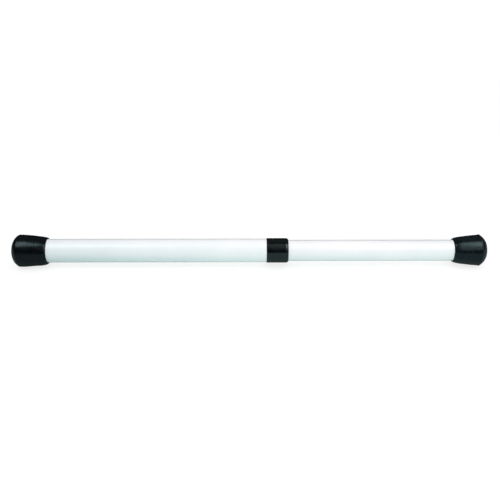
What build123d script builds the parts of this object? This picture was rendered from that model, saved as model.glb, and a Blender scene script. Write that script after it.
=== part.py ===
from build123d import *
import os
from math import cos, radians, sin

# Telescoping swing trainer stick, in millimetres.
# The stick lies along +X, +Z is up, and the origin is the centre of the flat foot of the
# rubber tip on the thick section. The thin section slides inside the thick one through a
# collar, and an internal eccentric cam locks the two tubes when they are twisted.
# "Outer" parts belong to the thick section and "inner" parts to the thin one.

# ---------------------------------------------------------------- driving dimensions
LENGTH = 569.0  # foot to foot, as extended at rest
FIT = 0.01  # radial gap of a seated fit
RUN = 0.05  # radial gap of a running fit
DRAG = 0.0375  # radial gap of a split ring in the outer bore

# tubes: 1 1/8 in and 1 in
WALL = 0.9
OUTER_R = 28.575 / 2
OUTER_BORE_R = OUTER_R - WALL
INNER_R = 25.4 / 2
INNER_BORE_R = INNER_R - WALL
TUBE_CHAMFER = 0.2

# what stands between each foot and its tube's end
TIP_FLOOR = 9.0  # rubber below the socket
WASHER_T = 1.2
INSERT_FLANGE_T = 1.5
TUBE_INSET = TIP_FLOOR + WASHER_T + INSERT_FLANGE_T

# collar on the mouth of the outer tube
COLLAR_X = 305.5
COLLAR_LEN = 26.2
COLLAR_R = 14.9
COLLAR_NOSE_T = 5.2
PIP_R = 1.5
PIP_X = 314.0

OUTER_TUBE_X0 = TUBE_INSET
OUTER_TUBE_X1 = COLLAR_X + COLLAR_LEN - COLLAR_NOSE_T
INNER_TUBE_X0 = 254.0
INNER_TUBE_X1 = LENGTH - TUBE_INSET

# stop sleeve and its peg
STOP_X0, STOP_X1 = 296.0, 316.0
PEG_X = (STOP_X0 + STOP_X1) / 2
PEG_R = 2.0
SLIT_DEPTH = 6.0  # radial size of the cutter that splits a ring

# twist lock on the hidden end of the inner tube
CAM_ECC = 1.0  # boss offset from the tube axis
CAM_LOCK_DEG = 45.0  # twist from free to jammed
CAM_GAP = 0.02  # left between cam and bore when jammed
CAM_END_GAP = 0.2  # along X, at each end of the cam ring
BOSS_R = 10.0
BOSS_X0 = 229.0
FLANGE_X0 = 242.0
FLANGE_R = 13.15
GLIDE_X0, GLIDE_X1 = 245.0, 249.0
GLIDE_FLOOR_R = 11.0
SPIGOT_LEN = 20.0
SPIGOT_HOLLOW_R = 8.0
RIVET_X = 264.0
RIVET_R = 1.6
CAM_WASHER_T = 1.0
SCREW_R = 2.0
SCREW_LEN = 15.0

# the boss centre at rest (locked), as (y, z), and the cam rim's centre
BOSS_DEG = -90.0 + CAM_LOCK_DEG / 2
FREE_DEG = -90.0 - CAM_LOCK_DEG / 2
BOSS_Y = CAM_ECC * cos(radians(BOSS_DEG))
BOSS_Z = CAM_ECC * sin(radians(BOSS_DEG))
BOSS_CENTRE = (BOSS_Y, BOSS_Z)
CAM_SHIFT = 2 * CAM_ECC * sin(radians(CAM_LOCK_DEG / 2))
CAM_CENTRE = (CAM_SHIFT, 0)
CAM_R = OUTER_BORE_R - CAM_SHIFT - CAM_GAP

# finned inserts that close the tubes
INSERT_LEN = 12.0
FIN_START = 1.6  # from the tube's end
FIN_PITCH = 2.6
FIN_COUNT = 4
FIN_W = 0.9

# swing weight in the far end of the inner tube
WEIGHT_LEN = 48.0
WEIGHT_R = 11.3
WEIGHT_X1 = INNER_TUBE_X1 - INSERT_LEN - 0.3
WEIGHT_X0 = WEIGHT_X1 - WEIGHT_LEN
O_RING_GROOVE_R = 9.9
O_RING_GROOVE_W = 2.4
O_RING_INSET = 8.0  # from each end of the weight to its groove
O_RING_XS = (WEIGHT_X0 + O_RING_INSET, WEIGHT_X1 - O_RING_INSET - O_RING_GROOVE_W)

# rubber tip outlines; columns are distance in from the foot, radius
# each curve starts where the one before it ends
FOOT_GROOVE_D = 0.8
FOOT_GROOVES = ((4.0, 5.4), (8.0, 9.4))  # inner and outer radius of each tread groove

OUTER_FLARE = [(0, 11.4), (1.15, 13.8), (2.53, 15.8), (4.13, 17.5), (5.75, 18.76)]
OUTER_SHOULDER = [(5.75, 18.76), (6.55, 19.26), (7.6, 19.5)]
OUTER_SIDE = [
    (7.6, 19.5), (11.9, 19.42), (17.9, 19.05), (24.0, 18.5),
    (30.1, 17.9), (34.9, 17.35), (38.2, 16.8),
]
OUTER_LIP = [(38.2, 16.8), (39.9, 16.22), (40.95, 15.55), (41.5, 14.75)]

INNER_FLARE = [(0, 11.9), (1.62, 14.3), (3.4, 16.25), (6.2, 18.45)]
INNER_SHOULDER = [(6.2, 18.45), (7.0, 18.74), (8.0, 18.72)]
INNER_SIDE = [
    (8.0, 18.72), (11.9, 18.4), (17.9, 17.83), (24.0, 17.15),
    (30.1, 16.35), (34.6, 15.55), (36.4, 15.1),
]
INNER_LIP = [(36.4, 15.1), (37.8, 14.55), (38.65, 13.9), (39.0, 13.35)]


def save(builder, name):
    builder.part.label = name
    export_step(builder.part, f"parts/{name}.step")


# ---------------------------------------------------------------- shared by both sections
def make_tube(name, x0, x1, radius, hole_x, hole_r, peg_hole=False):
    """Thin-wall tube with deburred ends and a pair of holes along Y."""
    with BuildPart() as tube:
        with BuildSketch(Plane.YZ.offset(x0)):
            Circle(radius)
            Circle(radius - WALL, mode=Mode.SUBTRACT)
        extrude(amount=x1 - x0)
        for end in (0, -1):
            rims = tube.edges().filter_by(GeomType.CIRCLE).group_by(Axis.X)[end]
            chamfer(rims, TUBE_CHAMFER)
        with BuildSketch(Plane.XZ):
            with Locations((hole_x, 0)):
                Circle(hole_r)
        extrude(amount=radius + 1, both=True, mode=Mode.SUBTRACT)
        # hole in the top for the stop sleeve's peg
        if peg_hole:
            with BuildSketch(Plane.XY):
                with Locations((PEG_X, 0)):
                    Circle(PEG_R)
            extrude(amount=radius + 1, mode=Mode.SUBTRACT)
    save(tube, name)


def make_tube_plug(name, end_x, outward, tube_r):
    """Finned cup that closes a tube at end_x; outward is the X sign out of the tube."""
    bore_r = tube_r - WALL
    fin_r = bore_r - FIT
    core_r = bore_r - 0.6
    cup_r = core_r - 2.0
    cup_floor = 1.0
    flange_r = tube_r - 0.1
    flange_chamfer = 0.4
    end_chamfer = 0.6

    def at(depth, radius):
        return (end_x - outward * depth, radius)

    points = [
        at(-INSERT_FLANGE_T, 0),
        at(-INSERT_FLANGE_T, flange_r - flange_chamfer),
        at(-INSERT_FLANGE_T + flange_chamfer, flange_r),
        at(-FIT, flange_r),
        at(-FIT, core_r),
    ]
    for k in range(FIN_COUNT):
        fin = FIN_START + FIN_PITCH * k
        points += [
            at(fin, core_r),
            at(fin + 0.25, fin_r),
            at(fin + FIN_W, fin_r),
            at(fin + FIN_W, core_r),
        ]
    points += [
        at(INSERT_LEN - end_chamfer, core_r),
        at(INSERT_LEN, core_r - end_chamfer),
        at(INSERT_LEN, cup_r),
        at(cup_floor, cup_r),
        at(cup_floor, 0),
        at(-INSERT_FLANGE_T, 0),
    ]
    with BuildPart() as plug:
        with BuildSketch(Plane.XZ):
            with BuildLine():
                Polyline(*points)
            make_face()
        revolve(axis=Axis.X)
    save(plug, name)


def make_washer(name, x0, thickness, radius, hole_r, edge, centre=(0, 0)):
    """Flat disc with a hole; edge is the chamfer on all its rims."""
    with BuildPart() as washer:
        with BuildSketch(Plane.YZ.offset(x0)):
            with Locations(centre):
                Circle(radius)
                Circle(hole_r, mode=Mode.SUBTRACT)
        extrude(amount=thickness)
        chamfer(washer.edges().filter_by(GeomType.CIRCLE), edge)
    save(washer, name)


def make_tip_washer(name, x0, tube_r):
    """Steel disc in the floor of a tip, so the tube can't cut through the rubber."""
    make_washer(name, x0, WASHER_T, radius=tube_r - 0.15, hole_r=4.0, edge=0.15)


def make_tip(name, foot_x, inward, tube_r, flare, shoulder, side, lip, side_slopes):
    """Rubber tip: flat treaded foot, rounded shoulder, sides that narrow to a thin lip.

    inward is the X sign from the foot into the stick; side_slopes are the radius change
    per mm inward at the two ends of the side curve.
    """
    socket_r = tube_r + FIT
    length, lip_r = lip[-1]

    def at(depth, radius):
        return (foot_x + inward * depth, radius)

    def curve(table):
        return [at(*point) for point in table]

    foot = [at(0, 0)]
    for r_in, r_out in FOOT_GROOVES:
        foot += [at(0, r_in), at(FOOT_GROOVE_D, r_in), at(FOOT_GROOVE_D, r_out), at(0, r_out)]
    foot += [at(*flare[0])]
    side_start, side_end = [(inward, slope) for slope in side_slopes]
    with BuildPart() as tip:
        with BuildSketch(Plane.XZ):
            with BuildLine():
                Polyline(*foot)
                Spline(*curve(flare))
                ThreePointArc(*curve(shoulder))
                Spline(*curve(side), tangents=[side_start, side_end])
                Spline(*curve(lip), tangents=[side_end, (inward * 0.25, -1)])
                Polyline(
                    at(length, lip_r),
                    at(length, socket_r),
                    at(TIP_FLOOR, socket_r),
                    at(TIP_FLOOR, 0),
                    at(0, 0),
                )
            make_face()
        revolve(axis=Axis.X)
    save(tip, name)


# ---------------------------------------------------------------- thick section
def make_collar():
    """Thin skirt over the tube's mouth, thick nose that guides the inner tube."""
    x0, x1 = COLLAR_X, COLLAR_X + COLLAR_LEN
    skirt_r = OUTER_R + FIT
    skirt_chamfer = 0.15
    rim_chamfer = 0.35
    nose_x = OUTER_TUBE_X1 + 0.02
    nose_bore_r = INNER_R + RUN
    nose_chamfer = 0.4
    round_start = (x1 - 3.0, COLLAR_R)
    round_end = (x1, COLLAR_R - 1.7)
    pip_r0 = OUTER_BORE_R + 0.06
    pip_r1 = OUTER_R + 0.35  # ends within the skirt
    with BuildPart() as collar:
        with BuildSketch(Plane.XZ):
            with BuildLine():
                Polyline(
                    (x0, skirt_r + skirt_chamfer),
                    (x0, COLLAR_R - rim_chamfer),
                    (x0 + rim_chamfer, COLLAR_R),
                    round_start,
                )
                ThreePointArc(round_start, (x1 - 1.1, COLLAR_R - 0.5), round_end)
                Polyline(
                    round_end,
                    (x1, nose_bore_r + nose_chamfer),
                    (x1 - nose_chamfer, nose_bore_r),
                    (nose_x, nose_bore_r),
                    (nose_x, skirt_r),
                    (x0 + skirt_chamfer, skirt_r),
                    (x0, skirt_r + skirt_chamfer),
                )
            make_face()
        revolve(axis=Axis.X)
        # two pips that snap into the tube's holes
        for side in (1, -1):
            with BuildSketch(Plane.XZ.offset(side * pip_r0)):
                with Locations((PIP_X, 0)):
                    Circle(PIP_R - FIT)
            extrude(amount=side * (pip_r1 - pip_r0))
    save(collar, "collar")


# ---------------------------------------------------------------- sliding rings
def make_glide_ring():
    """Split nylon ring in the lock plug's groove.

    It drags on the bore, so it slides with the thin section but doesn't turn with it.
    """
    with BuildPart() as ring:
        with BuildSketch(Plane.YZ.offset(GLIDE_X0 + RUN)):
            Circle(OUTER_BORE_R - DRAG)
            Circle(GLIDE_FLOOR_R + RUN, mode=Mode.SUBTRACT)
            with Locations((0, OUTER_BORE_R)):
                Rectangle(1.6, SLIT_DEPTH, mode=Mode.SUBTRACT)
        extrude(amount=GLIDE_X1 - GLIDE_X0 - 2 * RUN)
    save(ring, "glide_ring")


def make_stop_sleeve():
    """Split sleeve with a peg: centres the thin tube and stops at the collar."""
    peg_z0 = INNER_BORE_R - 0.4
    peg_z1 = INNER_R + 0.3
    with BuildPart() as sleeve:
        with BuildSketch(Plane.YZ.offset(STOP_X0)):
            Circle(OUTER_BORE_R - DRAG)
            Circle(INNER_R + FIT, mode=Mode.SUBTRACT)
            with Locations((0, -OUTER_BORE_R)):
                Rectangle(3.0, SLIT_DEPTH, mode=Mode.SUBTRACT)
        extrude(amount=STOP_X1 - STOP_X0)
        with BuildSketch(Plane.XY.offset(peg_z0)):
            with Locations((PEG_X, 0)):
                Circle(PEG_R - RUN)
        extrude(amount=peg_z1 - peg_z0)
    save(sleeve, "stop_sleeve")


# ---------------------------------------------------------------- twist lock
def make_lock_plug():
    """Spigot in the tube, grooved flange for the guide ring, eccentric boss."""
    flange_chamfer = 0.4
    flange_x1 = INNER_TUBE_X0 - FIT
    spigot_x1 = INNER_TUBE_X0 + SPIGOT_LEN
    spigot_chamfer = 1.0
    hollow_x = INNER_TUBE_X0 + 4.0
    boss_overlap = 0.5  # boss runs on into the flange
    with BuildPart() as plug:
        with BuildSketch(Plane.XZ):
            with BuildLine():
                Polyline(
                    (FLANGE_X0, 0),
                    (FLANGE_X0, FLANGE_R - flange_chamfer),
                    (FLANGE_X0 + flange_chamfer, FLANGE_R),
                    (GLIDE_X0, FLANGE_R),
                    (GLIDE_X0, GLIDE_FLOOR_R),
                    (GLIDE_X1, GLIDE_FLOOR_R),
                    (GLIDE_X1, FLANGE_R),
                    (flange_x1, FLANGE_R),
                    (flange_x1, INNER_BORE_R - FIT),
                    (spigot_x1 - spigot_chamfer, INNER_BORE_R - FIT),
                    (spigot_x1, INNER_BORE_R - spigot_chamfer),
                    (spigot_x1, SPIGOT_HOLLOW_R),
                    (hollow_x, SPIGOT_HOLLOW_R),
                    (hollow_x, 0),
                    (FLANGE_X0, 0),
                )
            make_face()
        revolve(axis=Axis.X)
        with BuildSketch(Plane.YZ.offset(BOSS_X0)):
            with Locations(BOSS_CENTRE):
                Circle(BOSS_R)
        extrude(amount=FLANGE_X0 - BOSS_X0 + boss_overlap)
        # pilot for the cam screw, up the middle of the boss
        with BuildSketch(Plane.YZ.offset(BOSS_X0)):
            with Locations(BOSS_CENTRE):
                Circle(SCREW_R)
        extrude(amount=SCREW_LEN + 1.0, mode=Mode.SUBTRACT)
        # rivet holes
        with BuildSketch(Plane.XZ):
            with Locations((RIVET_X, 0)):
                Circle(RIVET_R)
        extrude(amount=INNER_R + 1, both=True, mode=Mode.SUBTRACT)
    save(plug, "lock_plug")


def make_lock_rivets():
    """Two low-head rivets, along Y, that hold the plug in the tube."""
    tail_y = 8.3
    shank_x = RIVET_X + RIVET_R - FIT
    seat_y = INNER_R + FIT
    crown_y = INNER_R + 0.5
    head_edge = (RIVET_X + 2.6, INNER_R + 0.2)
    crown_edge = (RIVET_X + 1.9, crown_y)
    with BuildPart() as rivets:
        with BuildSketch(Plane.XY):
            with BuildLine():
                Polyline(
                    (RIVET_X, tail_y),
                    (shank_x, tail_y),
                    (shank_x, seat_y),
                    (head_edge[0], seat_y),
                    head_edge,
                )
                ThreePointArc(head_edge, (RIVET_X + 2.35, INNER_R + 0.41), crown_edge)
                Polyline(crown_edge, (RIVET_X, crown_y), (RIVET_X, tail_y))
            make_face()
        revolve(axis=Axis((RIVET_X, 0, 0), (0, 1, 0)))
        mirror(about=Plane.XZ)
    save(rivets, "lock_rivets")


def make_cam_ring():
    """Cam ring on the boss.

    Its bore is as far off its rim's centre as the boss is off the tube's axis, so one way
    round it is centred and free, and either way from there it wedges on the bore.
    """
    split_y = CAM_SHIFT + CAM_R * cos(radians(FREE_DEG))
    split_z = CAM_R * sin(radians(FREE_DEG))
    groove_x0 = BOSS_X0 + 2.8
    groove_pitch = 3.0
    with BuildPart() as ring:
        with BuildSketch(Plane.YZ.offset(BOSS_X0 + CAM_END_GAP)):
            with Locations(CAM_CENTRE):
                Circle(CAM_R)
            with Locations(BOSS_CENTRE):
                Circle(BOSS_R + RUN, mode=Mode.SUBTRACT)
            # split through the thin side
            with Locations(Location((split_y, split_z), FREE_DEG)):
                Rectangle(7.0, 1.6, mode=Mode.SUBTRACT)
        extrude(amount=FLANGE_X0 - BOSS_X0 - 2 * CAM_END_GAP)
        # shallow grip grooves round the rim
        for k in range(3):
            with BuildSketch(Plane.YZ.offset(groove_x0 + groove_pitch * k)):
                with Locations(CAM_CENTRE):
                    Circle(CAM_R + 1)
                    Circle(CAM_R - 0.3, mode=Mode.SUBTRACT)
            extrude(amount=1.2, mode=Mode.SUBTRACT)
    save(ring, "cam_ring")


def make_cam_screw():
    """Pan-head screw with a cross recess."""
    head_x = BOSS_X0 - CAM_WASHER_T  # underside of the head
    top_x = head_x - 2.6
    tip_x = head_x + SCREW_LEN
    shank_y = BOSS_Y + SCREW_R - FIT
    rim_y = BOSS_Y + 3.9
    crown_edge = (top_x, BOSS_Y + 2.7)
    head_edge = (head_x - 1.4, rim_y)
    cross_len, cross_w, cross_depth = 4.4, 0.9, 1.6
    with BuildPart() as screw:
        with BuildSketch(Plane.XY.offset(BOSS_Z)):
            with BuildLine():
                Line((top_x, BOSS_Y), crown_edge)
                ThreePointArc(crown_edge, (head_x - 2.2, BOSS_Y + 3.5), head_edge)
                Polyline(
                    head_edge,
                    (head_x, rim_y),
                    (head_x, shank_y),
                    (tip_x - 1.6, shank_y),
                    (tip_x, BOSS_Y + 0.6),
                    (tip_x, BOSS_Y),
                    (top_x, BOSS_Y),
                )
            make_face()
        revolve(axis=Axis((0, BOSS_Y, BOSS_Z), (1, 0, 0)))
        with BuildSketch(Plane.YZ.offset(top_x)):
            with Locations(BOSS_CENTRE):
                Rectangle(cross_len, cross_w)
                Rectangle(cross_w, cross_len)
        extrude(amount=cross_depth, mode=Mode.SUBTRACT)
    save(screw, "cam_screw")


# ---------------------------------------------------------------- swing weight
def make_swing_weight():
    """Steel slug held by two O-rings between the tube's insert and a toothed ring."""
    edge = 1.0
    points = [(WEIGHT_X0, 0), (WEIGHT_X0, WEIGHT_R - edge), (WEIGHT_X0 + edge, WEIGHT_R)]
    for x in O_RING_XS:
        points += [
            (x, WEIGHT_R),
            (x, O_RING_GROOVE_R),
            (x + O_RING_GROOVE_W, O_RING_GROOVE_R),
            (x + O_RING_GROOVE_W, WEIGHT_R),
        ]
    points += [
        (WEIGHT_X1 - edge, WEIGHT_R),
        (WEIGHT_X1, WEIGHT_R - edge),
        (WEIGHT_X1, 0),
        (WEIGHT_X0, 0),
    ]
    with BuildPart() as weight:
        with BuildSketch(Plane.XZ):
            with BuildLine():
                Polyline(*points)
            make_face()
        revolve(axis=Axis.X)
    save(weight, "swing_weight")


def make_weight_o_rings():
    ring_r = (INNER_BORE_R + O_RING_GROOVE_R) / 2
    cord_r = (INNER_BORE_R - O_RING_GROOVE_R) / 2 - FIT
    with BuildPart() as rings:
        for x in O_RING_XS:
            with BuildSketch(Plane.XZ):
                with Locations((x + O_RING_GROOVE_W / 2, ring_r)):
                    Circle(cord_r)
            revolve(axis=Axis.X)
    save(rings, "weight_o_rings")


def make_weight_stop_ring():
    """Spring-steel ring behind the slug, cut into teeth by slots round its rim."""
    with BuildPart() as ring:
        with BuildSketch(Plane.YZ.offset(WEIGHT_X0 - 0.9)):
            Circle(INNER_BORE_R - FIT)
            Circle(6.5, mode=Mode.SUBTRACT)
            with PolarLocations(INNER_BORE_R - 1.3, 12):
                SlotOverall(4.6, 1.2, mode=Mode.SUBTRACT)
        extrude(amount=0.6)
    save(ring, "weight_stop_ring")


# ---------------------------------------------------------------- build
os.makedirs("parts", exist_ok=True)

make_tube("outer_tube", OUTER_TUBE_X0, OUTER_TUBE_X1, OUTER_R, hole_x=PIP_X, hole_r=PIP_R)
make_collar()
make_tube_plug("outer_tube_plug", OUTER_TUBE_X0, outward=-1, tube_r=OUTER_R)
make_tip_washer("outer_tip_washer", TIP_FLOOR, OUTER_R)
make_tip(
    "outer_tip", foot_x=0, inward=1, tube_r=OUTER_R,
    flare=OUTER_FLARE, shoulder=OUTER_SHOULDER, side=OUTER_SIDE, lip=OUTER_LIP,
    side_slopes=(0.0, -0.22),
)

make_glide_ring()
make_tube(
    "inner_tube", INNER_TUBE_X0, INNER_TUBE_X1, INNER_R,
    hole_x=RIVET_X, hole_r=RIVET_R, peg_hole=True,
)
make_stop_sleeve()
make_lock_plug()
make_lock_rivets()
make_cam_ring()
make_washer(
    "cam_washer", BOSS_X0 - CAM_WASHER_T, CAM_WASHER_T,
    radius=11.4, hole_r=SCREW_R + 0.15, edge=0.12, centre=BOSS_CENTRE,
)
make_cam_screw()
make_swing_weight()
make_weight_o_rings()
make_weight_stop_ring()
make_tube_plug("inner_tube_plug", INNER_TUBE_X1, outward=1, tube_r=INNER_R)
make_tip_washer("inner_tip_washer", LENGTH - TIP_FLOOR - WASHER_T, INNER_R)
make_tip(
    "inner_tip", foot_x=LENGTH, inward=-1, tube_r=INNER_R,
    flare=INNER_FLARE, shoulder=INNER_SHOULDER, side=INNER_SIDE, lip=INNER_LIP,
    side_slopes=(-0.07, -0.28),
)
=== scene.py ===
"""A telescopic stick lying along X, its outer (thick) section towards -X and its inner (thin)
section towards +X, on a pale table. Sizes of pieces are in millimetres; the scene is in metres."""
import bmesh
import bpy
import math
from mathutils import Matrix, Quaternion, Vector, noise


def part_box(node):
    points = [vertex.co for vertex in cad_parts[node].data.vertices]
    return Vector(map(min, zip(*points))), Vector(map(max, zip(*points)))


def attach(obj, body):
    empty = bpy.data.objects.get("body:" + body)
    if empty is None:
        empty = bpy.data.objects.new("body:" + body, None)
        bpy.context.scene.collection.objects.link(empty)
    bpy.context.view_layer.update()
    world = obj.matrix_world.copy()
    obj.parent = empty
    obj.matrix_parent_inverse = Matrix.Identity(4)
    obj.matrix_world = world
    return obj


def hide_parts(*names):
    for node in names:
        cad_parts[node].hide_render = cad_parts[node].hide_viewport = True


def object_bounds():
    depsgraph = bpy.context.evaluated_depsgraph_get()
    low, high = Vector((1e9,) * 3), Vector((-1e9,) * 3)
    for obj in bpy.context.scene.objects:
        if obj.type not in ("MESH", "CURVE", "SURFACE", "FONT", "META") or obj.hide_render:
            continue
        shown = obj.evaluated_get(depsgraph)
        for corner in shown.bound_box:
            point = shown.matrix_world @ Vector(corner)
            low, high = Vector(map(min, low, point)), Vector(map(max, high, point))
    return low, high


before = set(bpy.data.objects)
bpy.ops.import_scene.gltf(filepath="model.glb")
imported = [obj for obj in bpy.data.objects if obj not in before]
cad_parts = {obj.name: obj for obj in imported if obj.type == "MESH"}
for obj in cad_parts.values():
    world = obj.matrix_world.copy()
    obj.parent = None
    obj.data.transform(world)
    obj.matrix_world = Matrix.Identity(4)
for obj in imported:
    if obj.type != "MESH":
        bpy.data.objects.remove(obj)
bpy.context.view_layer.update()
MM = 0.001


def span(node):
    """The X range of a CAD piece, in millimetres."""
    low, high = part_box(node)
    return low.x / MM, high.x / MM


SEGMENTS = 192        # round the tubes and the collar
TIP_SEGMENTS = 256    # round the rubber tips
SHARP_ANGLE = 38      # degrees between faces

OUTER_SPAN, INNER_SPAN = span("outer_tube"), span("inner_tube")
OUTER_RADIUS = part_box("outer_tube")[1].y / MM
INNER_RADIUS = 12.7
COLLAR_RADIUS = 14.9
WALL = 0.9
PIP_X, PIP_RADIUS = 314.0, 1.5
RIVET_X, RIVET_RADIUS = 264.0, 1.6
PEG_X, PEG_RADIUS = 306.0, 2.0


# ================================================================== profiles of (x, radius)
def bends(knots, values):
    """Second derivatives at the knots of a natural cubic spline."""
    count = len(knots)
    lower, main, upper, right = [0.0] * count, [1.0] * count, [0.0] * count, [0.0] * count
    for i in range(1, count - 1):
        before, after = knots[i] - knots[i - 1], knots[i + 1] - knots[i]
        lower[i], main[i], upper[i] = before, 2 * (before + after), after
        rise, last_rise = values[i + 1] - values[i], values[i] - values[i - 1]
        right[i] = 6 * (rise / after - last_rise / before)
    for i in range(1, count):
        ratio = lower[i] / main[i - 1]
        main[i] -= ratio * upper[i - 1]
        right[i] -= ratio * right[i - 1]
    result = [0.0] * count
    result[-1] = right[-1] / main[-1]
    for i in range(count - 2, -1, -1):
        result[i] = (right[i] - upper[i] * result[i + 1]) / main[i]
    return result


def spline(points, steps):
    """A smooth curve through the points, by chord length, with natural ends."""
    knots = [0.0]
    for start, end in zip(points, points[1:]):
        knots.append(knots[-1] + math.hypot(end[0] - start[0], end[1] - start[1]))
    axes = [(values, bends(knots, values)) for values in zip(*points)]
    curve = []
    for i in range(len(points) - 1):
        gap = knots[i + 1] - knots[i]
        for k in range(steps):
            along = gap * k / steps
            near, far = (gap - along) / gap, along / gap
            curve.append(tuple(
                near * values[i] + far * values[i + 1]
                + ((near**3 - near) * bend[i] + (far**3 - far) * bend[i + 1]) * gap * gap / 6
                for values, bend in axes))
    curve.append(points[-1])
    return curve


def rounded(corners, steps):
    """Corners are (x, r) or (x, r, radius); each inner corner with a radius becomes an arc."""
    points = []
    for i, (x, r, *rounding) in enumerate(corners):
        if not rounding or i in (0, len(corners) - 1):
            points.append((x, r))
            continue
        corner = Vector((x, r))
        back = Vector(corners[i - 1][:2]) - corner
        ahead = Vector(corners[i + 1][:2]) - corner
        half = back.angle(ahead) / 2
        cut = min(rounding[0] / math.tan(half), back.length * 0.49, ahead.length * 0.49)
        radius = cut * math.tan(half)
        back.normalize()
        ahead.normalize()
        centre = corner + (back + ahead).normalized() * (radius / math.sin(half))
        start, end = corner + back * cut - centre, corner + ahead * cut - centre
        turn = start.angle_signed(end)
        for k in range(steps + 1):
            angle = -turn * k / steps
            cos, sin = math.cos(angle), math.sin(angle)
            points.append((centre.x + start.x * cos - start.y * sin,
                           centre.y + start.x * sin + start.y * cos))
    return points


def stations(start, end, step, blocks=()):
    """Even values from start to end, finer in each (centre, half width, count) block."""
    cuts = [start, end]
    for centre, half, count in blocks:
        cuts += [centre - half + 2 * half * k / count for k in range(count + 1)]
    cuts = sorted(set(round(cut, 6) for cut in cuts))
    values = [cuts[0]]
    for low, high in zip(cuts, cuts[1:]):
        count = max(1, math.ceil((high - low) / step))
        values += [low + (high - low) * j / count for j in range(1, count + 1)]
    return values


# ================================================================== meshes
class Opening:
    """A round opening at x, at an angle in degrees from +Y towards +Z.
    skins: one or two (radius, faces outward) skins it is cut through. Two are joined by a
    straight wall; one is closed by a boss with a flat end at radius cap."""

    def __init__(self, x, degrees, radius, cells, skins, cap=None):
        self.x, self.degrees, self.radius = x, degrees, radius
        self.cells, self.skins, self.cap = cells, skins, cap
        self.half = cells // 2 * 2 * math.pi * skins[0][0] / SEGMENTS
        self.block = (x, self.half, cells)
        angle = math.radians(degrees)
        self.out = (math.cos(angle), math.sin(angle))
        self.side = (-math.sin(angle), math.cos(angle))

    def local(self, vert):
        """Offsets of a vertex from the opening's axis: along X and sideways."""
        return vert[0] - self.x, vert[1] * self.side[0] + vert[2] * self.side[1]

    def point(self, along, across, height):
        return (self.x + along,
                self.out[0] * height + self.side[0] * across,
                self.out[1] * height + self.side[1] * across)


class Lathe:
    """Turns a profile about the X axis into quads."""

    def __init__(self, profile, segments):
        self.profile, self.segments = profile, segments
        self.verts, self.faces, self.skipped = [], [], set()
        self.rings = []
        for x, r in profile:
            if r < 1e-6:
                self.rings.append(self.add([(x, 0.0, 0.0)]) * segments)
                continue
            turns = [2 * math.pi * j / segments for j in range(segments)]
            self.rings.append(self.add([(x, r * math.cos(t), r * math.sin(t)) for t in turns]))

    def add(self, points):
        first = len(self.verts)
        self.verts += points
        return list(range(first, len(self.verts)))

    def face(self, corners, outward):
        self.faces.append(corners if outward else corners[::-1])

    def join(self, loop, other, outward):
        for k in range(len(loop)):
            after = (k + 1) % len(loop)
            self.face((loop[k], loop[after], other[after], other[k]), outward)

    def cut(self, opening, radius, outward):
        """Takes a square of cells out of one skin and fills it in to a round rim."""
        cells = opening.cells
        rows = [i for i, (x, r) in enumerate(self.profile)
                if abs(r - radius) < 1e-4 and abs(x - opening.x) <= opening.half + 1e-6]
        rows.sort(key=lambda i: self.profile[i][0])
        middle = round(opening.degrees / 360 * self.segments)
        first, last = middle - cells // 2, middle + cells // 2
        square = [(rows[k], first) for k in range(cells)]
        square += [(rows[cells], first + k) for k in range(cells)]
        square += [(rows[cells - k], last) for k in range(cells)]
        square += [(rows[0], last - k) for k in range(cells)]
        for row, after in zip(rows, rows[1:]):
            for k in range(cells):
                self.skipped.add((min(row, after), (first + k) % self.segments))
        border = [self.rings[i][j % self.segments] for i, j in square]
        points = []
        for vert in border:
            along, across = opening.local(self.verts[vert])
            angle = math.atan2(across, along)
            across = opening.radius * math.sin(angle)
            height = math.sqrt(radius * radius - across * across)
            points.append(opening.point(opening.radius * math.cos(angle), across, height))
        rim = self.add(points)
        self.join(border, rim, outward)
        return rim

    def close(self, opening, rim, outward):
        """Runs a rim to a flat end with a chamfered edge."""
        chamfer = 0.12
        offsets = [opening.local(self.verts[vert]) for vert in rim]
        last = rim
        for height, scale in (
            (opening.cap + chamfer, 1.0), (opening.cap, 0.9), (opening.cap, 0.45),
        ):
            ring = self.add([opening.point(along * scale, across * scale, height)
                             for along, across in offsets])
            self.join(last, ring, outward)
            last = ring
        centre = self.add([opening.point(0.0, 0.0, opening.cap)])[0]
        for k in range(len(last)):
            self.face((last[k], last[(k + 1) % len(last)], centre), outward)

    def skin(self, closed):
        count = len(self.profile)
        for i in range(count if closed else count - 1):
            ring, after = self.rings[i], self.rings[(i + 1) % count]
            for j in range(self.segments):
                if (i, j) in self.skipped:
                    continue
                k = (j + 1) % self.segments
                corners = tuple(dict.fromkeys((ring[j], ring[k], after[k], after[j])))
                if len(corners) > 2:
                    self.faces.append(corners)


def lathe(name, profile, closed=True, segments=SEGMENTS, openings=(), warp=None):
    work = Lathe(profile, segments)
    # every rim comes before the first boss
    cuts = [[work.cut(opening, *skin) for skin in opening.skins] for opening in openings]
    for opening, rims in zip(openings, cuts):
        outward = opening.skins[0][1]
        if len(rims) == 2:
            work.join(*rims, outward)
        else:
            work.close(opening, rims[0], outward)
    work.skin(closed)
    verts = [warp(Vector(vert)) for vert in work.verts] if warp else work.verts
    mesh = bpy.data.meshes.new(name)
    mesh.from_pydata([(x * MM, y * MM, z * MM) for x, y, z in verts], [], work.faces)
    return finish_mesh(name, mesh)


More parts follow.
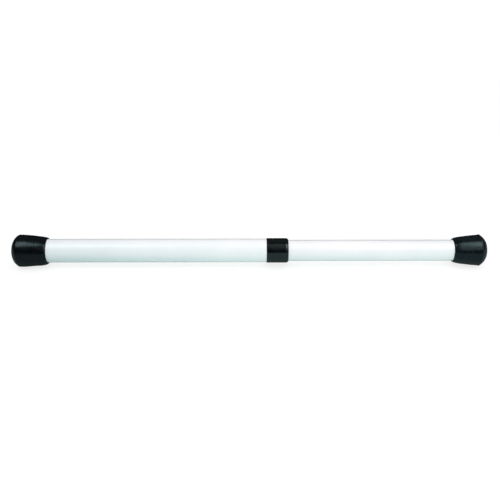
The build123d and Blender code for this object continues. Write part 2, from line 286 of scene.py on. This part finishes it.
def finish_mesh(name, mesh):
    """Drops the vertices left inside openings, turns normals outward and smooths."""
    shape = bmesh.new()
    shape.from_mesh(mesh)
    loose = [vert for vert in shape.verts if not vert.link_faces]
    bmesh.ops.delete(shape, geom=loose, context="VERTS")
    bmesh.ops.recalc_face_normals(shape, faces=shape.faces)
    if shape.calc_volume(signed=True) < 0:
        bmesh.ops.reverse_faces(shape, faces=shape.faces)
    assert all(len(edge.link_faces) == 2 for edge in shape.edges), name + " is not closed"
    shape.to_mesh(mesh)
    shape.free()
    for face in mesh.polygons:
        face.use_smooth = True
    mesh.set_sharp_from_angle(angle=math.radians(SHARP_ANGLE))
    piece = link(name, mesh)
    weighted = piece.modifiers.new("normals", "WEIGHTED_NORMAL")
    weighted.keep_sharp = True
    weighted.weight = 60
    return piece


def link(name, data):
    made = bpy.data.objects.new(name, data)
    bpy.context.scene.collection.objects.link(made)
    return made


def paint_with(piece, material):
    piece.data.materials.clear()
    piece.data.materials.append(material)


def place(piece, node, body, material):
    paint_with(piece, material)
    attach(piece, body)
    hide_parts(node)


# ================================================================== shader nodes
class Graph:
    """Short calls for building a node tree. put() links a socket or sets a value."""

    def __init__(self, tree):
        self.tree = tree
        tree.nodes.clear()

    def put(self, socket, value):
        if isinstance(value, bpy.types.NodeSocket):
            self.tree.links.new(value, socket)
        elif socket.type == "RGBA" and len(value) == 3:
            socket.default_value = (*value, 1.0)
        else:
            socket.default_value = value

    def add(self, kind, inputs=None, **settings):
        node = self.tree.nodes.new("ShaderNode" + kind)
        for key, value in settings.items():
            setattr(node, key, value)
        for key, value in (inputs or {}).items():
            self.put(node.inputs[key], value)
        return node

    def band(self, value, over, gives=(0.0, 1.0)):
        """A smooth step: as value crosses the range over, the result crosses gives."""
        return self.add("MapRange", {
            "Value": value, "From Min": over[0], "From Max": over[1],
            "To Min": gives[0], "To Max": gives[1],
        }, interpolation_type="SMOOTHSTEP").outputs["Result"]


class Material(Graph):
    """One procedural material in object coordinates."""

    def __init__(self, name):
        self.material = bpy.data.materials.new(name)
        self.material.use_nodes = True
        super().__init__(self.material.node_tree)
        output = self.add("OutputMaterial")
        self.principled = self.add("BsdfPrincipled")
        self.put(output.inputs[0], self.principled.outputs[0])
        self.coord = self.add("TexCoord").outputs["Object"]

    def scaled(self, x, y, z):
        return self.add("Mapping", {"Vector": self.coord, "Scale": (x, y, z)}).outputs[0]

    def noise(self, scale, detail=2.0, rough=0.5, vector=None, distortion=0.0):
        return self.add("TexNoise", {
            "Vector": vector or self.coord, "Scale": scale, "Detail": detail,
            "Roughness": rough, "Distortion": distortion,
        }).outputs["Fac"]

    def calc(self, operation, first, second):
        return self.add("Math", {0: first, 1: second}, operation=operation).outputs[0]

    def plus(self, first, second):
        return self.calc("ADD", first, second)

    def minus(self, first, second):
        return self.calc("SUBTRACT", first, second)

    def times(self, value, by):
        return self.calc("MULTIPLY", value, by)

    def mix(self, factor, base, to):
        """Colour base where factor is 0, to where it is 1."""
        return self.add("Mix", {"Factor": factor, 6: base, 7: to}, data_type="RGBA").outputs[2]

    def bump(self, height, distance, strength, normal=None):
        inputs = {"Height": height, "Distance": distance, "Strength": strength}
        if normal:
            inputs["Normal"] = normal
        return self.add("Bump", inputs).outputs[0]

    def edges(self, over=(0.52, 0.60)):
        return self.band(self.add("NewGeometry").outputs["Pointiness"], over=over)

    def finish(self, **values):
        for key, value in values.items():
            self.put(self.principled.inputs[key.replace("_", " ")], value)
        return self.material


def shade(colour, by):
    return tuple(channel * by for channel in colour)


# ================================================================== materials
def white_coat(name, rub_amount, rim, tone):
    """Gloss white powder coat: soft orange peel, a trace of handling, hairline rub marks; painted
    shade towards both ends and at the edges, painted bounce light underneath.
    rim: how much painted shade greys the coat seen edge on, on its (upper, lower) side."""
    mat = Material(name)
    clouds = mat.noise(scale=22, detail=3, rough=0.55)
    dim, bright = [tuple(channel * tint for channel, tint in zip(colour, tone))
                   for colour in ((0.858, 0.860, 0.866), (0.892, 0.892, 0.898))]
    colour = mat.mix(mat.band(clouds, over=(0.35, 0.68)), base=dim, to=bright)
    # painted shade: darker and cooler towards both ends, by X in metres with a wavering border
    x = mat.add("SeparateXYZ", {0: mat.coord}).outputs["X"]
    place_x = mat.plus(x, mat.times(mat.noise(scale=26, detail=3, rough=0.6), by=0.05))
    shade_at_low_end = mat.band(place_x, over=(0.045, 0.31), gives=(0.75, 0.0))
    colour = mat.mix(shade_at_low_end, colour, to=(0.735, 0.775, 0.785))
    shade_at_high_end = mat.band(place_x, over=(0.45, 0.56), gives=(0.0, 0.50))
    colour = mat.mix(shade_at_high_end, colour, to=(0.765, 0.795, 0.790))
    hand = mat.noise(scale=70, detail=5, rough=0.62, vector=mat.scaled(x=0.35, y=1, z=1))
    hand = mat.band(hand, over=(0.60, 0.80), gives=(0.0, 0.30))
    colour = mat.mix(hand, colour, to=(0.80, 0.80, 0.785))
    rub = mat.noise(scale=1.0, detail=3, rough=0.6, vector=mat.scaled(x=14, y=1500, z=1500))
    rub = mat.band(rub, over=(0.64, 0.74), gives=(0.0, rub_amount))
    colour = mat.mix(mat.times(rub, by=0.35), colour, to=(0.70, 0.71, 0.71))
    specks = mat.noise(scale=900, detail=1, rough=0.3)
    specks = mat.band(specks, over=(0.80, 0.86), gives=(0.0, 0.35))
    colour = mat.mix(specks, colour, to=(0.55, 0.55, 0.54))
    peel = mat.noise(scale=620, detail=1.5, rough=0.4)
    normal = mat.bump(peel, distance=0.00006, strength=0.22)
    normal = mat.bump(rub, distance=0.000015, strength=0.5, normal=normal)
    rough = mat.plus(mat.band(clouds, over=(0.3, 0.7), gives=(0.30, 0.38)),
                     mat.times(rub, by=0.12))
    facing = mat.add("LayerWeight", {"Blend": 0.5}).outputs["Facing"]
    up = mat.add("SeparateXYZ", {0: mat.add("NewGeometry").outputs["Normal"]}).outputs["Z"]
    # painted bounce light brightens the underside; painted shade greys the edges seen edge on
    bounce_light_below = mat.band(up, over=(-0.85, -0.32), gives=(0.85, 0.0))
    colour = mat.mix(bounce_light_below, colour, to=(0.985, 0.985, 0.985))
    # painted shade: grey where the coat is seen edge on
    grey = mat.times(mat.band(facing, over=(0.55, 0.90)),
                     by=mat.band(up, over=(-0.2, 0.2), gives=(rim[1], rim[0])))
    colour = mat.mix(grey, colour, to=(0.10, 0.10, 0.10))
    return mat.finish(Base_Color=colour, Roughness=rough, Normal=normal, IOR=1.48,
                      Coat_Weight=0.8, Coat_Roughness=0.27, Coat_Normal=normal)


def moulded_rubber(name, paleness=1.0, tint=(0.80, 1.0, 1.0)):
    """Satin black rubber: smudged sheen, fine grain, pale bloom and worn edges.
    paleness: how pale the rubber is and how much pale bloom sits on it; tint: colour of its sheen."""
    mat = Material(name)
    patches = mat.noise(scale=75, detail=4, rough=0.6, distortion=0.6)
    colour = mat.mix(mat.band(patches, over=(0.35, 0.7)),
                     base=shade((0.0006, 0.0013, 0.0024), by=paleness),
                     to=shade((0.0020, 0.0030, 0.0043), by=paleness))
    dust = mat.noise(scale=420, detail=6, rough=0.68)
    patchy = (0.08 * paleness, 0.40 * paleness)
    bloom = mat.times(mat.band(dust, over=(0.52, 0.72)),
                      by=mat.band(patches, over=(0.40, 0.72), gives=patchy))
    colour = mat.mix(bloom, colour, to=(0.013, 0.016, 0.018))
    worn = mat.times(mat.edges(over=(0.515, 0.57)),
                     by=mat.band(dust, over=(0.38, 0.60), gives=(0.10, 0.60)))
    colour = mat.mix(worn, colour, to=(0.022, 0.026, 0.027))
    grain = mat.noise(scale=3800, detail=2, rough=0.5)
    lumps = mat.noise(scale=190, detail=3, rough=0.5, distortion=0.3)
    normal = mat.bump(grain, distance=0.00005, strength=0.20)
    normal = mat.bump(lumps, distance=0.00016, strength=0.20, normal=normal)
    rough = mat.plus(mat.band(patches, over=(0.32, 0.70), gives=(0.22, 0.29)),
                     mat.times(bloom, by=0.16))
    rough = mat.plus(rough, mat.band(dust, over=(0.3, 0.8), gives=(-0.03, 0.05)))
    return mat.finish(Base_Color=colour, Roughness=rough, Normal=normal, IOR=1.5,
                      Specular_Tint=tint)


def gloss_black(name):
    """Black moulded nylon: fairly sharp sheen, fine handling lines round it, a worn rim."""
    mat = Material(name)
    haze = mat.noise(scale=110, detail=4, rough=0.6)
    colour = mat.mix(mat.band(haze, over=(0.35, 0.7)),
                     base=(0.0008, 0.0012, 0.0016), to=(0.0018, 0.0024, 0.0028))
    lines = mat.noise(scale=1.0, detail=4, rough=0.7, vector=mat.scaled(x=2600, y=26, z=26))
    lines = mat.band(lines, over=(0.60, 0.78), gives=(0.0, 0.5))
    colour = mat.mix(mat.times(lines, by=0.10), colour, to=(0.05, 0.052, 0.055))
    worn = mat.times(mat.edges(over=(0.53, 0.60)),
                     by=mat.band(haze, over=(0.35, 0.65), gives=(0.2, 0.8)))
    colour = mat.mix(mat.times(worn, by=0.35), colour, to=(0.05, 0.053, 0.056))
    ripple = mat.noise(scale=260, detail=2, rough=0.4)
    normal = mat.bump(ripple, distance=0.00004, strength=0.25)
    normal = mat.bump(lines, distance=0.00001, strength=0.35, normal=normal)
    rough = mat.plus(mat.band(haze, over=(0.3, 0.7), gives=(0.13, 0.20)),
                     mat.times(lines, by=0.10))
    return mat.finish(Base_Color=colour, Roughness=rough, Normal=normal, IOR=1.8,
                      Specular_Tint=(0.78, 1.0, 1.0))


def natural_nylon(name, tone=(0.74, 0.71, 0.62)):
    """Cloudy unpigmented nylon with flow marks along X."""
    mat = Material(name)
    cloud = mat.noise(scale=160, detail=4, rough=0.6)
    colour = mat.mix(mat.band(cloud, over=(0.35, 0.7)), base=shade(tone, by=0.86), to=tone)
    flow = mat.noise(scale=1.0, detail=3, rough=0.6, vector=mat.scaled(x=90, y=700, z=700))
    flow = mat.band(flow, over=(0.62, 0.78), gives=(0.0, 0.35))
    colour = mat.mix(flow, colour, to=shade(tone, by=0.72))
    grain = mat.noise(scale=1500, detail=3, rough=0.5)
    normal = mat.bump(grain, distance=0.00004, strength=0.3)
    rough = mat.band(cloud, over=(0.3, 0.7), gives=(0.36, 0.52))
    return mat.finish(Base_Color=colour, Roughness=rough, Normal=normal, IOR=1.53,
                      Subsurface_Weight=0.15, Subsurface_Scale=0.002)


def matte_black(name):
    mat = Material(name)
    cloud = mat.noise(scale=140, detail=4, rough=0.6)
    colour = mat.mix(mat.band(cloud, over=(0.35, 0.7)),
                     base=(0.012, 0.012, 0.013), to=(0.026, 0.026, 0.028))
    colour = mat.mix(mat.times(mat.edges(), by=0.5), colour, to=(0.07, 0.07, 0.072))
    grain = mat.noise(scale=2600, detail=3, rough=0.55)
    normal = mat.bump(grain, distance=0.00005, strength=0.4)
    rough = mat.band(cloud, over=(0.3, 0.7), gives=(0.5, 0.66))
    return mat.finish(Base_Color=colour, Roughness=rough, Normal=normal, IOR=1.5)


def plated_steel(name, line_scale, tone=(0.60, 0.61, 0.61), dark=(0.44, 0.44, 0.42),
                 rough=(0.24, 0.38)):
    """Bright steel with fine lines and stains. line_scale: how finely the lines repeat by axis."""
    mat = Material(name)
    cloud = mat.noise(scale=210, detail=5, rough=0.65)
    colour = mat.mix(mat.band(cloud, over=(0.35, 0.72)), base=dark, to=tone)
    lines = mat.noise(scale=1.0, detail=3, rough=0.65, vector=mat.scaled(*line_scale))
    faint = mat.band(lines, over=(0.4, 0.75), gives=(0.0, 0.30))
    colour = mat.mix(faint, colour, to=shade(tone, by=0.6))
    stain = mat.noise(scale=420, detail=5, rough=0.7)
    stain = mat.band(stain, over=(0.66, 0.80), gives=(0.0, 0.5))
    colour = mat.mix(stain, colour, to=(0.30, 0.25, 0.18))
    normal = mat.bump(lines, distance=0.00003, strength=0.45)
    roughness = mat.band(cloud, over=(0.3, 0.7), gives=rough)
    return mat.finish(Base_Color=colour, Metallic=1.0, Roughness=roughness, Normal=normal,
                      Anisotropic=0.4)


coat_outer = white_coat("white_coat_outer", rub_amount=0.22, rim=(0.16, 0.0),
                        tone=(0.99, 1.0, 1.0))
coat_inner = white_coat("white_coat_inner", rub_amount=0.55, rim=(0.40, 0.45),
                        tone=(0.99, 0.98, 0.985))
rubber = moulded_rubber("tip_rubber", paleness=0.5)
# the thin section's tip gets a paler copy of the rubber, with more pale bloom and a greener sheen
rubber_paler = moulded_rubber("tip_rubber_paler", paleness=1.8, tint=(0.66, 1.0, 0.99))
black = gloss_black("collar_black")


# ================================================================== tubes
def tube(name, ends, radius, holes):
    """An open tube with rounded ends. holes: (x, degrees, radius, cells)."""
    land = 0.6                          # length kept for rounding each end
    outer_edge, bore_edge = 0.32, 0.2   # rounding radii
    low, high = ends
    bore = radius - WALL
    skins = ((radius, True), (bore, False))
    openings = [Opening(*hole, skins) for hole in holes]

    def end_corners(x, inward):
        start = x + inward * land
        return [(start, radius), (x, radius, outer_edge), (x, bore, bore_edge), (start, bore)]

    blocks = [opening.block for opening in openings]
    along = stations(low + land, high - land, 6.0, blocks)
    profile = [(x, radius) for x in along]
    profile += rounded(end_corners(high, -1), steps=5)[1:-1]
    profile += [(x, bore) for x in reversed(along)]
    profile += rounded(end_corners(low, 1)[::-1], steps=5)[1:-1]
    return lathe(name, profile, openings=openings)


outer_tube = tube("outer_tube_skin", OUTER_SPAN, OUTER_RADIUS,
                  [(PIP_X, degrees, PIP_RADIUS, 8) for degrees in (0, 180)])
place(outer_tube, "outer_tube", "outer_section", coat_outer)

inner_tube = tube("inner_tube_skin", INNER_SPAN, INNER_RADIUS,
                  [(RIVET_X, degrees, RIVET_RADIUS, 10) for degrees in (0, 180)]
                  + [(PEG_X, 90, PEG_RADIUS, 12)])
place(inner_tube, "inner_tube", "inner_section", coat_inner)


# ================================================================== collar
def make_collar():
    """A skirt on the thick tube, a nose round the thin tube, and two pips inside."""
    low, high = span("collar")
    skirt_radius, bore = OUTER_RADIUS + 0.01, INNER_RADIUS + 0.05
    step_x = OUTER_SPAN[1] + 0.02    # where the skirt meets the thick tube's end
    # nose: distance back from the high end, depth below the collar's radius
    nose = [(3.0, 0.0), (1.9, 0.13), (0.95, 0.55), (0.3, 1.25), (0.0, 1.75)]
    pips = [Opening(PIP_X, degrees, PIP_RADIUS - 0.01, 8, ((skirt_radius, False),),
                    cap=OUTER_RADIUS - WALL + 0.06) for degrees in (0, 180)]
    blocks = [pip.block for pip in pips]

    profile = rounded([(low, skirt_radius + 0.05), (low, COLLAR_RADIUS, 0.42),
                       (low + 6, COLLAR_RADIUS)], steps=6)[1:-1]
    profile += [(x, COLLAR_RADIUS) for x in stations(low + 0.8, high - 3.4, 2.0)]
    profile += spline([(high - back, COLLAR_RADIUS - depth) for back, depth in nose], steps=5)
    profile += rounded([
        (high, COLLAR_RADIUS - 1.8), (high, bore, 0.4), (step_x, bore, 0.05),
        (step_x, skirt_radius, 0.05), (step_x - 0.4, skirt_radius),
    ], steps=4)[1:-1]
    skirt = stations(low + 0.4, step_x - 0.4, 3.0, blocks)
    profile += [(x, skirt_radius) for x in reversed(skirt)]
    profile += rounded([(low + 0.4, skirt_radius), (low, skirt_radius, 0.12),
                        (low, COLLAR_RADIUS - 0.43)], steps=3)[1:-1]
    return lathe("collar_body", profile, openings=pips)


place(make_collar(), "collar", "outer_section", black)

# ================================================================== rubber tips
SOCKET_FLOOR = 9.0                  # from the foot to the bottom of the socket
GROOVES = ((4.0, 5.4), (8.0, 9.4))  # inner and outer radii of the rings in the foot
GROOVE_DEPTH = 0.8


def tip_profile(length, socket, shoulder, crease, side, lip):
    """From the middle of the foot, over the outside and down into the socket.
    Points are (distance from the foot, radius)."""
    tread = [(0.0, 0.0), (0.0, 1.5), (0.0, 2.8)]
    for inner, outer in GROOVES:
        tread += [(0.0, inner, 0.22), (GROOVE_DEPTH, inner, 0.28),
                  (GROOVE_DEPTH, outer, 0.28), (0.0, outer, 0.22), (0.0, outer + 0.9)]
    foot_edge = (*shoulder[0], 0.4)
    profile = rounded(tread + [foot_edge, shoulder[1]], steps=4)[:-1]
    # the foot's rounded edge replaces the first points of the shoulder
    profile += spline(shoulder, steps=5)[3:-1]
    profile += rounded(crease, steps=8)[1:-1]
    profile += spline(side, steps=9)
    profile += spline([side[-1]] + lip, steps=5)[1:]
    profile += rounded([lip[-1], (length, socket, 0.25), (length - 0.8, socket)], steps=4)[1:-1]
    wall = stations(SOCKET_FLOOR + 0.8, length - 0.8, 3.0)
    profile += [(distance, socket) for distance in reversed(wall)]
    profile += rounded([(SOCKET_FLOOR + 0.8, socket), (SOCKET_FLOOR, socket, 0.05),
                        (SOCKET_FLOOR, socket * 0.7)], steps=3)[1:-1]
    profile += [(SOCKET_FLOOR, socket * part) for part in (0.7, 0.35, 0.0)]
    spaced = [profile[0]]
    for point in profile[1:]:
        if math.dist(point, spaced[-1]) > 0.012:
            spaced.append(point)
    return spaced


def bell(offset, width):
    return math.exp(-((offset / width) ** 2))


def tip_warp(foot, way, length, socket, seed, ridge_at, lean):
    """Moulded rubber is never quite true: slow waves, and a fine seam where the mould
    halves met. The socket stays true."""
    seam_angles = (math.radians(38), math.radians(218))
    seam_width, seam_height = 0.28, 0.11
    # waves: scale along X, scale across, shift, height
    waves = ((0.11, 0.10, seed, 0.10), (0.42, 0.36, -seed, 0.035))
    ridge_width, ridge_height = 0.42, 0.16
    nib_angle, nib_width, nib_height = math.radians(66), math.radians(9), 0.42
    lean_at, lean_width = 36.0, 11.0

    def warp(point):
        distance = (point.x - foot) * way
        radius = math.hypot(point.y, point.z)
        if radius < socket + 0.06 and distance > SOCKET_FLOOR - 0.5:
            return point
        swell = 0.0
        for along, across, shift, height in waves:
            spot = Vector((distance * along + shift, point.y * across, point.z * across))
            swell += noise.noise(spot) * height
        fade = min(1.0, max(0.0, (length - distance) / 2.5)) * min(1.0, distance / 1.5)
        angle = math.atan2(point.z, point.y)
        seam = 0.0
        for seam_angle in seam_angles:
            turn = (angle - seam_angle + math.pi) % (2 * math.pi) - math.pi
            seam = max(seam, bell(abs(turn) * radius, seam_width))
        outside = min(1.0, max(0.0, (radius - 9.0) / 4.0))
        swell = swell * fade + seam * seam_height * fade * outside
        if ridge_at:
            uneven = 0.75 + 0.5 * noise.noise(Vector((point.y * 0.3, point.z * 0.3, seed)))
            nib = nib_height * bell(angle - nib_angle, nib_width)
            swell += bell(distance - ridge_at, ridge_width) * (ridge_height * uneven + nib)
        grow = 1 + swell / max(radius, 1e-6)
        droop = lean * bell(distance - lean_at, lean_width) * fade
        return Vector((point.x, point.y * grow, point.z * grow - droop))

    return warp


def tip(name, foot, way, length, socket, seed, ridge_at=None, lean=0.0, **outline):
    """foot: X of the flat foot; way: +1 if the tip runs from it towards +X, else -1;
    ridge_at: distance of a raised ring from the foot; lean: how far the skirt droops."""
    profile = tip_profile(length, socket, **outline)
    return lathe(name, [(foot + way * distance, r) for distance, r in profile],
                 closed=False, segments=TIP_SEGMENTS,
                 warp=tip_warp(foot, way, length, socket, seed, ridge_at, lean))


# Outlines are (distance from the foot, radius); creases add a rounding radius.
low, high = span("outer_tip")
outer_tip = tip(
    "outer_tip_rubber", foot=low, way=1, length=high - low, socket=OUTER_RADIUS + 0.01,
    seed=3.7, lean=0.38,
    shoulder=[(0.0, 11.4), (1.15, 13.8), (2.53, 15.8), (4.13, 17.5), (5.9, 18.88)],
    crease=[(5.5, 18.55), (6.6, 19.46, 2.4), (8.2, 19.53)],
    side=[(7.6, 19.54), (11.9, 19.48), (17.9, 19.12), (24.0, 18.60), (30.1, 18.05),
          (34.9, 17.50), (38.2, 16.92)],
    lip=[(39.9, 16.34), (40.95, 15.68), (41.5, 14.85)],
)
place(outer_tip, "outer_tip", "outer_section", rubber)

low, high = span("inner_tip")
inner_tip = tip(
    "inner_tip_rubber", foot=high, way=-1, length=high - low, socket=INNER_RADIUS + 0.01,
    seed=11.2, ridge_at=7.0,
    shoulder=[(0.0, 11.9), (1.62, 14.3), (3.4, 16.25), (6.2, 18.5)],
    crease=[(5.9, 18.25), (6.7, 18.84, 1.0), (8.3, 18.73)],
    side=[(8.0, 18.72), (11.9, 18.4), (17.9, 17.83), (24.0, 17.15), (30.1, 16.35),
          (34.6, 15.55), (36.4, 15.1)],
    lip=[(37.8, 14.55), (38.65, 13.9), (39.0, 13.35)],
)
place(inner_tip, "inner_tip", "inner_section", rubber_paler)

# ================================================================== pieces that keep their CAD mesh
TURNED_LINES, BRUSHED_LINES = (5200, 120, 120), (160, 5200, 160)
nylon = natural_nylon("natural_nylon")
nylon_cam = natural_nylon("cam_nylon", tone=(0.66, 0.65, 0.60))
insert = matte_black("insert_black")
o_ring = moulded_rubber("o_ring_rubber")
zinc = plated_steel("zinc_plate", BRUSHED_LINES)
turned = plated_steel("turned_steel", TURNED_LINES)
spring = plated_steel("spring_steel", BRUSHED_LINES, tone=(0.26, 0.27, 0.30),
                      dark=(0.14, 0.13, 0.15), rough=(0.22, 0.36))
for node, material in {
    "outer_tube_plug": insert, "inner_tube_plug": insert,
    "outer_tip_washer": zinc, "inner_tip_washer": zinc,
    "glide_ring": nylon, "stop_sleeve": nylon, "lock_plug": nylon,
    "cam_ring": nylon_cam, "lock_rivets": zinc, "cam_washer": zinc, "cam_screw": turned,
    "swing_weight": turned, "weight_o_rings": o_ring, "weight_stop_ring": spring,
}.items():
    paint_with(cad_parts[node], material)

# ================================================================== table, metres from here on
box_low, box_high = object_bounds()
middle_x = ((box_low + box_high) / 2).x


def table_paint():
    """Matt white paint with a faint glow that keeps it pale far from the lamps.
    The camera, reflections and bounced light each see their own shade of it."""
    mat = Material("floor_paint")
    reach = mat.add("VectorMath", {0: mat.coord}, operation="LENGTH").outputs["Value"]
    x = mat.add("SeparateXYZ", {0: mat.coord}).outputs["X"]
    slope = mat.band(x, over=(-0.15, 0.55))
    base_glow, glow_rise = 0.06, 0.31    # strength at the -X end, and its rise towards +X
    bed = mat.plus(mat.times(slope, by=glow_rise), base_glow)
    seen_glow = mat.band(reach, over=(0.7, 3.5), gives=(0.78, 0.89))
    rays = mat.add("LightPath").outputs
    camera_ray, glossy_ray = rays["Is Camera Ray"], rays["Is Glossy Ray"]
    paint = mat.mix(mat.noise(scale=3, detail=3), base=(0.24, 0.24, 0.24), to=(0.25, 0.25, 0.25))
    paint = mat.mix(camera_ray, base=(0.48, 0.62, 0.60), to=paint)
    paint = mat.mix(glossy_ray, paint, to=(0.18, 0.205, 0.205))
    mint = mat.mix(slope, base=(0.68, 1.0, 0.95), to=(0.88, 1.0, 0.98))
    glow = mat.mix(camera_ray, mint, to=(1.0, 1.0, 1.0))
    dim = mat.minus(1.0, mat.times(glossy_ray, by=0.70))
    under = mat.times(bed, by=dim)
    to_eye = mat.times(camera_ray, by=mat.minus(seen_glow, under))
    return mat.finish(Base_Color=paint, Roughness=0.85, Specular_IOR_Level=0.2,
                      Emission_Color=glow, Emission_Strength=mat.plus(under, to_eye))


def make_floor(reach=14.0):
    mesh = bpy.data.meshes.new("floor")
    corners = ((-reach, -reach), (reach, -reach), (reach, reach), (-reach, reach))
    mesh.from_pydata([(x, y, box_low.z) for x, y in corners], [], [(0, 1, 2, 3)])
    floor = link("floor", mesh)
    mesh.materials.append(table_paint())


make_floor()


# ================================================================== world and lights
def make_world():
    """White to the camera, a dim vertical ramp to reflections, an even fill to the rest."""
    side_fill, top_fill = 0.81, 0.84
    # ramp: position, grey level
    stops = [(0.0, 0.03), (0.42, 0.03), (0.66, 0.20), (0.96, 0.20), (1.0, 0.16)]
    world = bpy.data.worlds.new("studio")
    bpy.context.scene.world = world
    world.use_nodes = True
    graph = Graph(world.node_tree)
    output = graph.add("OutputWorld")
    rays = graph.add("LightPath").outputs
    direction = graph.add("TexCoord").outputs["Generated"]
    height = graph.add("SeparateXYZ", {0: direction}).outputs["Z"]
    ramp = graph.add("ValToRGB", {0: height})
    elements = ramp.color_ramp.elements
    while len(elements) < len(stops):
        elements.new(0.5)
    for element, (position, level) in zip(elements, stops):
        element.position = position
        element.color = (level * 0.96, level, level * 1.04, 1)
    gloss = graph.add("Background", {"Color": ramp.outputs[0], "Strength": 0.35})
    lobe = graph.add("VectorMath", {0: direction, 1: (0.10, 0.42, 0.90)},
                     operation="DOT_PRODUCT").outputs["Value"]
    strength = graph.band(lobe, over=(-0.1, 1.0), gives=(side_fill, top_fill))
    fill = graph.add("Background", {"Color": (0.99, 1.0, 1.0), "Strength": strength})
    seen = graph.add("Background", {"Color": (1.0, 1.0, 1.0), "Strength": 1.0})
    shader = fill.outputs[0]
    for ray, other in (("Is Glossy Ray", gloss), ("Is Camera Ray", seen)):
        mixed = graph.add("MixShader", {0: rays[ray], 1: shader, 2: other.outputs[0]})
        shader = mixed.outputs[0]
    graph.put(output.inputs[0], shader)


def aim_along(thing, direction):
    thing.rotation_mode = "QUATERNION"
    thing.rotation_quaternion = direction.to_track_quat("-Z", "Y")


def soft_light(name, offset, target_x, size, power, colour):
    """A rectangular lamp; offset and target_x are taken from the stick's middle in X."""
    data = bpy.data.lights.new(name, "AREA")
    data.shape = "RECTANGLE"
    data.size, data.size_y = size
    data.energy = power
    data.color = colour
    lamp = link(name, data)
    x, y, z = offset
    lamp.location = (middle_x + x, y, z)
    aim_along(lamp, Vector((middle_x + target_x, 0, 0)) - Vector((middle_x + x, y, z)))


make_world()
soft_light("softbox_left", offset=(-0.64, -0.43, 1.25), target_x=-0.2, size=(0.6, 0.7),
           power=3.2, colour=(0.90, 1.0, 1.10))
soft_light("softbox_right", offset=(0.60, -0.50, 1.25), target_x=0.15, size=(0.6, 0.9),
           power=4.3, colour=(1.05, 1.0, 1.02))
soft_light("front_card", offset=(0.52, -0.72, 0.70), target_x=0.2, size=(0.7, 0.7),
           power=1.3, colour=(1.10, 1.0, 1.04))

# ================================================================== camera
ELEVATION = math.radians(24)
ROLL = math.radians(-0.085)
DISTANCE = 0.812
AIM_X, AIM_RISE = 0.2855, 0.00045    # the rise is along the view's own upward direction
sin, cos = math.sin(ELEVATION), math.cos(ELEVATION)
camera_data = bpy.data.cameras.new("camera")
camera_data.sensor_width = 36.0
camera_data.lens = 48.24
camera_data.clip_start, camera_data.clip_end = 0.01, 100
camera = link("camera", camera_data)
back = Vector((0, -cos, sin))
camera.location = Vector((AIM_X, 0.0, 0.0)) + Vector((0, sin, cos)) * AIM_RISE + back * DISTANCE
aim_along(camera, -back)
camera.rotation_quaternion = camera.rotation_quaternion @ Quaternion((0, 0, 1), ROLL)

scene = bpy.context.scene
scene.camera = camera
scene.view_settings.view_transform = "Standard"
scene.view_settings.look = "None"
